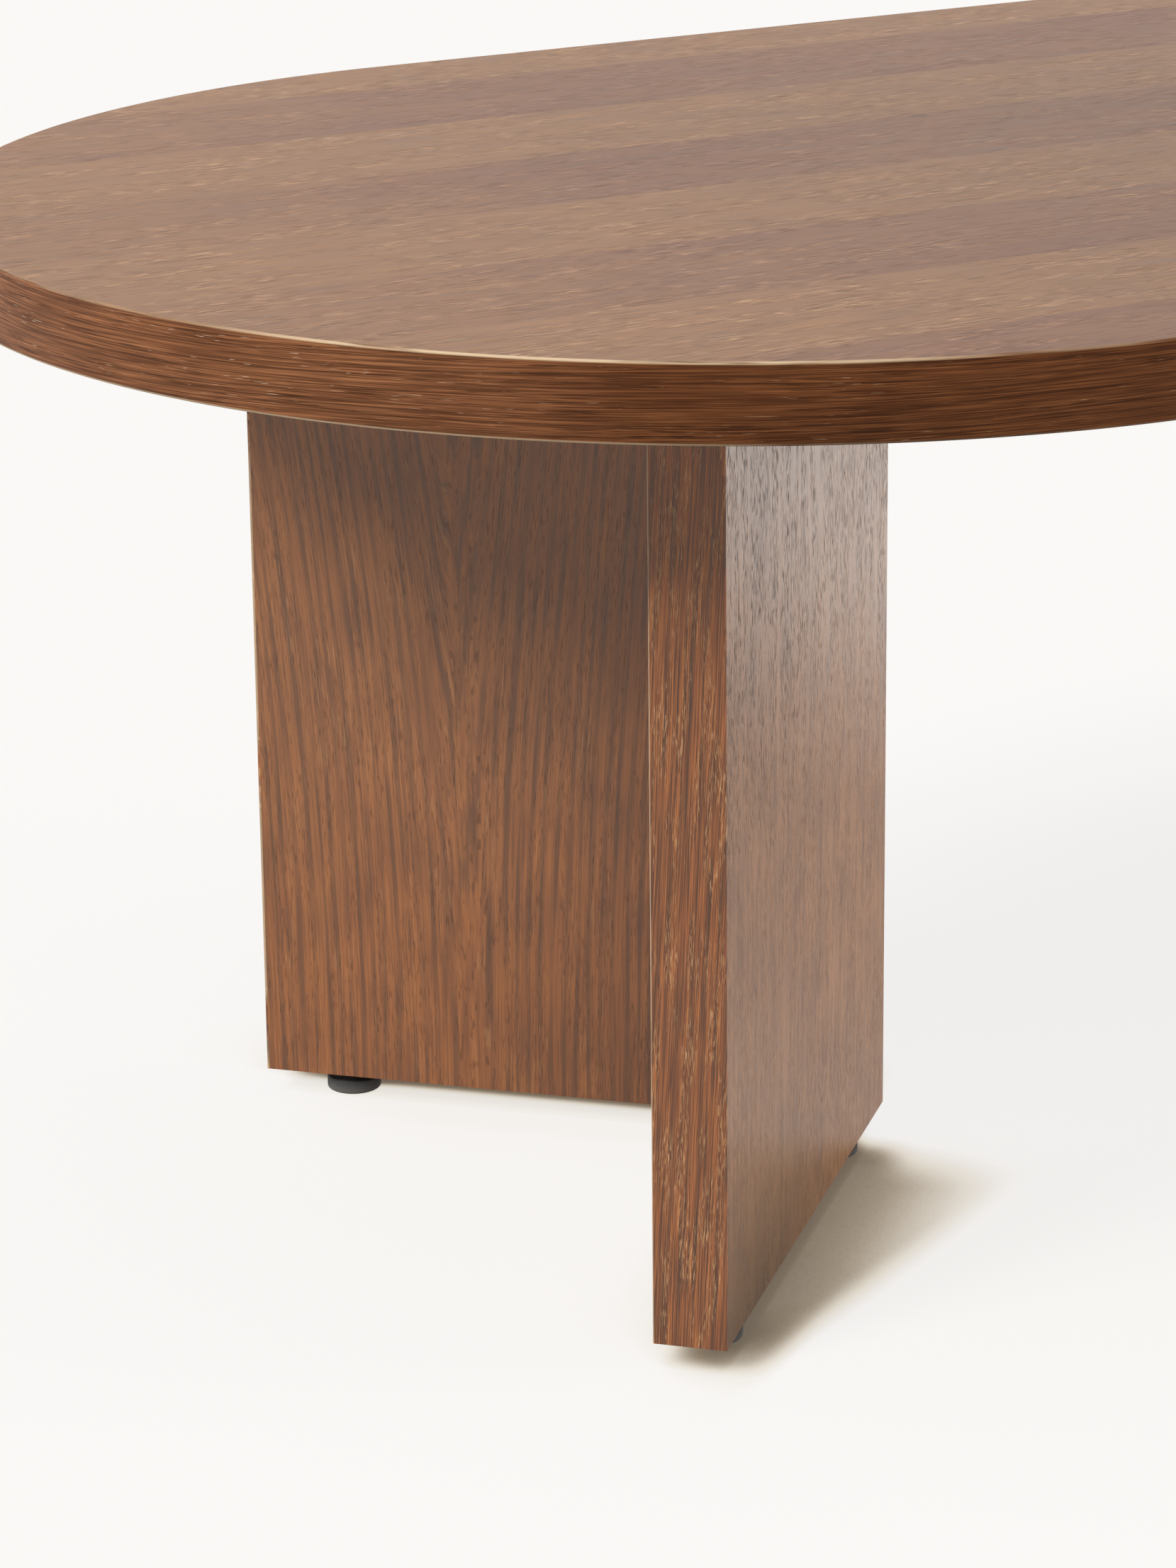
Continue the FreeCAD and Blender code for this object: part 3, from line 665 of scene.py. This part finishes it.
for number, panel in enumerate(PANELS):
    end_finish, place = open_finish(f"{panel}_end_band")
    reach, through, upright = panel_place(place, *panel.split("_"))
    leaned = through + upright * end_slope
    colour, roughness, height = stained_oak(upright, leaned, 307.0 + 11 * number, end_look)
    rubbed = streaks(upright, through, *end_rub_step, 151.0 + number, 2.0).between(0.36, 0.52)
    arris = through.between(panel_thickness - end_arris_start, panel_thickness - end_arris_full)
    # Pale arris line: partly rubbed bare wood, partly a painted highlight.
    colour = colour.towards((*rubbed_and_highlit_oak, 1.0), arris * rubbed * 0.6)
    close_finish(place, colour, roughness, height, end_relief, {"IOR": 1.6})
    dress([f"{panel}_end_band"], end_finish)


# Mitre tongues
# A loose beech tongue is glued in the groove of each mitre to line up and lock the two panels.
# Bare planed beech: pale pinkish wood with short darker flecks along the grain.
beech_dark = (0.42, 0.25, 0.13)
beech_pale = (0.56, 0.37, 0.21)
beech_fleck = (0.27, 0.13, 0.06)
ray_step = (0.003, 0.0003)
beech_step = (0.08, 0.003)
tongue_relief = 0.00005
tongue_wood, place = open_finish("tongue_wood")
crosswise = place.node("ShaderNodeSeparateXYZ", {}, {0: place}, "Y")
upright = crosswise.other("Z")
ray_flecks = streaks(upright, crosswise, *ray_step, 5.0, 0.0).between(0.58, 0.68)
beech_rings = streaks(upright, crosswise, *beech_step, 9.0)
colour = beech_rings.ramp([(0.3, beech_dark), (0.7, beech_pale)])
colour = colour.towards((*beech_fleck, 1.0), ray_flecks * 0.6)
height = beech_rings - ray_flecks
close_finish(place, colour, 0.6 + beech_rings * 0.1, height, tongue_relief, {"IOR": 1.45})
dress([f"{side}_mitre_tongue" for side in SIDES], tongue_wood)


# Mounting plates
# An L-shaped plate of 3 mm steel is let in flush at the head of each leg and bolted to the top.
# Black powder coat with a slight orange peel, rubbed a little thin here and there.
coat_black = (0.022, 0.022, 0.023)
coat_thin = (0.050, 0.049, 0.048)
peel_size = 0.0016
peel_relief = 0.00012
rub_size = 0.022
plate_steel, place = open_finish("plate_steel")
peel = speckle(place, peel_size, 1.0)
rub = speckle(place, rub_size, 4.0)
colour = rub.ramp([(0.35, coat_black), (0.75, coat_thin)])
close_finish(place, colour, 0.42 + peel * 0.2, peel, peel_relief, {"IOR": 1.5})
dress([f"{side}_mounting_plate" for side in SIDES], plate_steel)


# Screws, washers and bolts
# Countersunk wood screws hold each plate in its leg; button head bolts on washers hold the top.
# Screws and washers are bright zinc, the bolts are darker, with a faint fine grain in both.
metal_cloud_size = 0.0045
metal_grit_size = 0.0004
metal_relief = 0.00002


def plated(name, bright, dull, rough):
    """Plated or turned metal: clouded brightness, a slightly uneven gloss and a faint fine grain."""
    material, place = open_finish(name)
    cloud = speckle(place, metal_cloud_size, 3.0)
    grit = speckle(place, metal_grit_size, 2.0)
    colour = cloud.ramp([(0.3, dull), (0.7, bright)])
    close_finish(place, colour, rough + (cloud - 0.5) * 0.3, grit, metal_relief, {"Metallic": 1.0})
    return material


zinc_steel = plated("zinc_steel", bright=(0.70, 0.70, 0.68), dull=(0.50, 0.50, 0.50), rough=0.34)
bolt_steel = plated("bolt_steel", bright=(0.30, 0.30, 0.31), dull=(0.17, 0.17, 0.18), rough=0.40)
for side in SIDES:
    dress([f"{side}_plate_screws", f"{side}_bolt_washers"], zinc_steel)
    dress([f"{side}_top_bolts"], bolt_steel)


# Threaded inserts
# Turned brass sleeves are driven into the board, six in the top and eight in the feet.
# Raw brass, dulled to brown where it has been handled.
insert_brass = plated("insert_brass", bright=(0.66, 0.47, 0.20), dull=(0.42, 0.28, 0.11), rough=0.36)
for side in SIDES:
    dress([f"{side}_top_inserts", f"{side}_glide_inserts"], insert_brass)


# Glide pads
# A moulded black plastic foot snaps over the disc head of each levelling stud and stands on the floor.
# Fine spark-eroded texture, scuffed in places and paler towards the floor.
pad_black = (0.018, 0.019, 0.021)
pad_scuffed = (0.050, 0.051, 0.053)
pad_pale_low = (0.125, 0.122, 0.116)
pale_low_rise = (0.0005, 0.0055)
mould_size = 0.0005
mould_relief = 0.00004
scuff_size = 0.006
glide_plastic, place = open_finish("glide_plastic")
mould = speckle(place, mould_size, 2.0)
scuff = speckle(place, scuff_size, 4.0)
low_on_pad = 1 - place.node("ShaderNodeSeparateXYZ", {}, {0: place}, "Z").between(*pale_low_rise)
colour = scuff.ramp([(0.4, pad_black), (0.8, pad_scuffed)])
colour = colour.towards((*pad_pale_low, 1.0), low_on_pad * 0.8)
close_finish(place, colour, 0.48 + scuff * 0.15, mould, mould_relief, {"IOR": 1.48})
GLIDES = [f"{panel}_{spot}" for panel in PANELS for spot in ("corner", "end")]
dress([f"{glide}_glide_pad" for glide in GLIDES], glide_plastic)


# Levelling studs
# A turned steel stud with a rolled M6 thread screws up into the insert of each foot.
# Its disc head is held in the pad, and a hex collar above takes a spanner; bright zinc all over.
stud_steel = plated("stud_steel", bright=(0.66, 0.66, 0.65), dull=(0.45, 0.45, 0.46), rough=0.32)
head_radius = 0.0055
head_low = 0.00183
head_high = 0.0036
head_points = 48
head_bevel = 0.0003
neck_radius = 0.0030
neck_overlap = 0.0008
collar_low = 0.0058
collar_high = 0.0074
collar_across = 0.0100
collar_bevel = 0.0002
stud_end = 0.0324
thread_start = 0.005
thread_turns = 30
thread_points = 36
thread_overlap = 0.0004
thread_pitch = 0.001
thread_root = 0.00242
thread_crest = 0.00298
# The thread's outline over one pitch: its radius, then the share of the pitch where it is reached.
thread_steps = [(thread_root, 0.23), (thread_crest, 0.553), (thread_crest, 0.678), (thread_root, 1.0)]
tiny = 1e-5

bpy.ops.object.select_all(action="DESELECT")
bpy.ops.mesh.primitive_cylinder_add(
    vertices=head_points, radius=head_radius, depth=head_high - head_low,
    location=(0, 0, (head_low + head_high) / 2),
)
stud = bpy.context.active_object
stud.name = "levelling_stud_pattern"
bpy.ops.object.transform_apply(location=True, rotation=True, scale=True)
bpy.ops.object.mode_set(mode="EDIT")
select_where(stud, "FACE", lambda point: point.z > head_high - tiny)
bpy.ops.mesh.inset(thickness=head_radius - neck_radius, depth=0)
neck_rise = collar_low + neck_overlap - head_high
bpy.ops.mesh.extrude_region_move(TRANSFORM_OT_translate={"value": (0, 0, neck_rise)})
for level in (head_low, head_high):
    select_where(
        stud, "EDGE",
        lambda point: abs(point.z - level) < tiny and math.hypot(point.x, point.y) > head_radius - tiny,
    )
    bpy.ops.mesh.bevel(offset=head_bevel, segments=2, profile=0.5, affect="EDGES")
bpy.ops.object.mode_set(mode="OBJECT")

bpy.ops.object.select_all(action="DESELECT")
bpy.ops.mesh.primitive_cylinder_add(
    vertices=6, radius=collar_across / math.sqrt(3), depth=collar_high - collar_low,
    location=(0, 0, (collar_low + collar_high) / 2), rotation=(0, 0, math.radians(90)),
)
collar = bpy.context.active_object
bpy.ops.object.transform_apply(location=True, rotation=True, scale=True)
bpy.ops.object.mode_set(mode="EDIT")
bpy.ops.mesh.select_all(action="SELECT")
bpy.ops.mesh.bevel(offset=collar_bevel, segments=2, profile=0.5, affect="EDGES")
bpy.ops.object.mode_set(mode="OBJECT")

bpy.ops.object.select_all(action="DESELECT")
bpy.ops.mesh.primitive_plane_add(size=0.002, location=(0, 0, 0))
rod = bpy.context.active_object
bpy.ops.object.mode_set(mode="EDIT")
bpy.ops.mesh.select_mode(type="VERT")
bpy.ops.mesh.select_all(action="SELECT")
bpy.ops.mesh.merge(type="CENTER")
bpy.ops.transform.translate(value=(thread_root, 0, thread_start))
reached = (thread_root, 0.0)
for radius, turn in thread_steps:
    step = (radius - reached[0], 0, (turn - reached[1]) * thread_pitch)
    bpy.ops.mesh.extrude_vertices_move(TRANSFORM_OT_translate={"value": step})
    reached = (radius, turn)
bpy.ops.object.mode_set(mode="OBJECT")
apply_modifier(
    rod, "SCREW", axis="Z", angle=2 * math.pi, screw_offset=thread_pitch, iterations=thread_turns,
    steps=thread_points, render_steps=thread_points,
)
face_out(rod)
for cut, sign in ((collar_low + thread_overlap, -1), (stud_end, 1)):
    bpy.ops.object.mode_set(mode="EDIT")
    bpy.ops.mesh.select_all(action="SELECT")
    bpy.ops.mesh.bisect(
        plane_co=(0, 0, cut), plane_no=(0, 0, sign), use_fill=True, clear_outer=True, threshold=1e-7
    )
    bpy.ops.object.mode_set(mode="OBJECT")
face_out(rod)
for other in (collar, rod):
    bpy.ops.object.select_all(action="DESELECT")
    stud.select_set(True)
    bpy.context.view_layer.objects.active = stud
    apply_modifier(stud, "BOOLEAN", operation="UNION", object=other, solver="EXACT")
    bpy.data.objects.remove(other)
face_out(stud)
stud.data.materials.append(stud_steel)

for glide in GLIDES:
    pad_low, pad_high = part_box(f"{glide}_glide_pad")
    bpy.ops.object.select_all(action="DESELECT")
    stud.select_set(True)
    bpy.context.view_layer.objects.active = stud
    bpy.ops.object.duplicate()
    copy = bpy.context.active_object
    copy.name = f"{glide}_levelling_stud"
    copy.location = ((pad_low[0] + pad_high[0]) / 2, (pad_low[1] + pad_high[1]) / 2, 0)
    bpy.ops.object.transform_apply(location=True, rotation=True, scale=True)
    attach(copy, f"{glide}_stud")
    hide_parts(f"{glide}_glide_stud")
bpy.data.objects.remove(stud)


# Floor, light and camera
# A plain pale studio floor under a dome, with a soft key lamp from the left and four weaker lamps.
# The camera stands where the photograph was taken from.
floor_white = (0.955, 0.940, 0.925)
floor_dark = (0.165, 0.130, 0.095)
floor_brown = (0.265, 0.195, 0.125)
floor_warm = (0.775, 0.715, 0.615)
floor_lit = (0.93, 0.91, 0.875)
floor_bounce = (0.33, 0.322, 0.31)
floor_size = 40
shade_turn = math.radians(182)
shade_lean = 0.8
shade_rise = 0.6
shade_reach = 0.07
wedge_slope = 0.32
wedge_width = 0.082
wedge_blur = (-0.018, 0.008)
wedge_run = (0.005, 0.062)
corner_run = (0.010, 0.045)
corner_depth = (0.0, 0.02)
touch_depth = (0.003, 0.022)
right_side = (-0.12, -0.05)
v_from_back = (0.002, 0.014)
v_from_front = (0.020, 0.045)
bpy.ops.object.select_all(action="DESELECT")
bpy.ops.mesh.primitive_plane_add(size=floor_size, location=(0, 0, 0))
floor = bpy.context.active_object
floor.name = "studio_floor"
floor_finish = bpy.data.materials.new("studio_floor")
floor_finish.use_nodes = True
floor_finish.cycles.emission_sampling = "NONE"
floor_finish.node_tree.nodes.clear()
ray = Shade(floor_finish.node_tree, None)
camera_ray = ray.node("ShaderNodeLightPath", {}, {}, "Is Camera Ray")
seen = camera_ray + camera_ray.other("Is Glossy Ray") + camera_ray.other("Is Transmission Ray")

# Contact shade: what stands near on the side that the key lamp comes from.
lean_x = shade_lean * math.cos(shade_turn)
lean_y = shade_lean * math.sin(shade_turn)
leaning = ray.node("ShaderNodeCombineXYZ", {}, {"X": lean_x, "Y": lean_y, "Z": shade_rise})
nearby_values = {"Distance": shade_reach, "Normal": leaning}
nearby = ray.node("ShaderNodeAmbientOcclusion", {"samples": 16}, nearby_values, 1)

# It is kept in a wedge beside the left front panel, close under that panel and at the right leg,
# and mostly cleared inside the left V and round its corner, where light comes in.
floor_place = ray.node("ShaderNodeTexCoord", {}, {}, "Object")
floor_reach, floor_through, _ = panel_place(floor_place, "left", "front")
_, back_through, _ = panel_place(floor_place, "left", "back")
wedge = floor_reach * wedge_slope - wedge_width - floor_through
beside = (1 - wedge.between(*wedge_blur)) * floor_reach.between(*wedge_run)
by_corner = (1 - floor_reach.between(*corner_run)) * (1 - floor_through.between(*corner_depth))
touching = (1 - (0 - floor_through).between(*touch_depth)) * (1 - by_corner)
elsewhere = floor_place.node("ShaderNodeSeparateXYZ", {}, {0: floor_place}).between(*right_side)
inside_v = back_through.between(*v_from_back) * floor_through.between(*v_from_front)
kept_shadow = 1 - (1 - beside) * (1 - touching * (1 - inside_v * 0.8)) * (1 - elsewhere)
nearby = 1 - (1 - nearby) * kept_shadow

# The camera and shiny faces see the pale floor with that shade; other light bounces off a dimmer one.
pale = nearby.ramp([(0.45, floor_dark), (0.55, floor_brown), (0.75, floor_warm), (0.95, floor_white)])
glow = ray.node("ShaderNodeEmission", {}, {"Color": pale, "Strength": 1.0})
lit = ray.node("ShaderNodeBsdfDiffuse", {}, {"Color": (*floor_lit, 1.0)})
dim = ray.node("ShaderNodeBsdfDiffuse", {}, {"Color": (*floor_bounce, 1.0)})
shadow_share = 0.10 + camera_ray.other("Is Glossy Ray") * 0.57
shown = ray.node("ShaderNodeMixShader", {}, {0: shadow_share, 1: glow, 2: lit})
whole = ray.node("ShaderNodeMixShader", {}, {0: seen, 1: dim, 2: shown})
clear = ray.node("ShaderNodeBsdfTransparent", {}, {})
underneath = ray.node("ShaderNodeNewGeometry", {}, {}, "Backfacing")
one_sided = ray.node("ShaderNodeMixShader", {}, {0: underneath, 1: whole, 2: clear})
ray.node("ShaderNodeOutputMaterial", {}, {"Surface": one_sided})
floor.data.materials.append(floor_finish)

lamp_white = (1.0, 0.985, 0.965)
studio = bpy.data.worlds.new("studio_dome")
studio.use_nodes = True
studio.node_tree.nodes.clear()
bpy.context.scene.world = studio
sky = Shade(studio.node_tree, None)
rise = sky.node("ShaderNodeSeparateXYZ", {}, {0: sky.node("ShaderNodeTexCoord", {}, {}, "Generated")}, "Z")
overhead = 0.05 + rise.between(0.0, 1.0) * 0.08
camera_ray = sky.node("ShaderNodeLightPath", {}, {}, "Is Camera Ray")
seen = camera_ray + camera_ray.other("Is Glossy Ray") + camera_ray.other("Is Transmission Ray")
dome = sky.node("ShaderNodeBackground", {}, {"Color": (*lamp_white, 1.0), "Strength": overhead})
backdrop = sky.node("ShaderNodeBackground", {}, {"Color": (*floor_white, 1.0), "Strength": 1.0})
both = sky.node("ShaderNodeMixShader", {}, {0: seen, 1: dome, 2: backdrop})
sky.node("ShaderNodeOutputWorld", {}, {"Surface": both})


def soft_lamp(name, turn, rise, strength, spread):
    """A broad lamp far away: its bearing from +x, height over the floor and breadth are in degrees."""
    turn = math.radians(turn)
    rise = math.radians(rise)
    lamp = bpy.data.lights.new(name, "SUN")
    lamp.energy = strength * math.pi
    lamp.angle = math.radians(spread)
    lamp.color = lamp_white
    towards = Vector((math.cos(turn) * math.cos(rise), math.sin(turn) * math.cos(rise), math.sin(rise)))
    stand = bpy.data.objects.new(name, lamp)
    stand.rotation_mode = "QUATERNION"
    stand.rotation_quaternion = towards.to_track_quat("Z", "Y")
    stand.visible_glossy = False
    bpy.context.scene.collection.objects.link(stand)


soft_lamp("key_light", turn=189, rise=38, strength=0.98, spread=20)
soft_lamp("right_fill", turn=334, rise=7, strength=0.84, spread=25)
soft_lamp("top_light", turn=200, rise=80, strength=0.24, spread=40)
soft_lamp("back_fill", turn=120, rise=20, strength=0.15, spread=40)
soft_lamp("low_front", turn=222, rise=5, strength=0.08, spread=20)

camera_spot = (-1.08854, -1.44637, 0.67902)
lens_length = 114.975
sensor_width = 36
view_yaw = math.radians(28.9013)
view_pitch = math.radians(17.7452)
view_roll = math.radians(-0.6195)
ahead = Vector((
    math.sin(view_yaw) * math.cos(view_pitch),
    math.cos(view_yaw) * math.cos(view_pitch),
    -math.sin(view_pitch),
))
level = Vector((math.cos(view_yaw), -math.sin(view_yaw), 0))
straight_up = level.cross(ahead)
right = level * math.cos(view_roll) + straight_up * math.sin(view_roll)
up = straight_up * math.cos(view_roll) - level * math.sin(view_roll)
lens = bpy.data.cameras.new("photo_camera")
lens.lens = lens_length
lens.sensor_width = sensor_width
camera = bpy.data.objects.new("photo_camera", lens)
turned = Matrix((right, up, -ahead)).transposed().to_4x4()
camera.matrix_world = Matrix.Translation(camera_spot) @ turned
bpy.context.scene.collection.objects.link(camera)
bpy.context.scene.camera = camera
bpy.context.scene.view_settings.view_transform = "Standard"
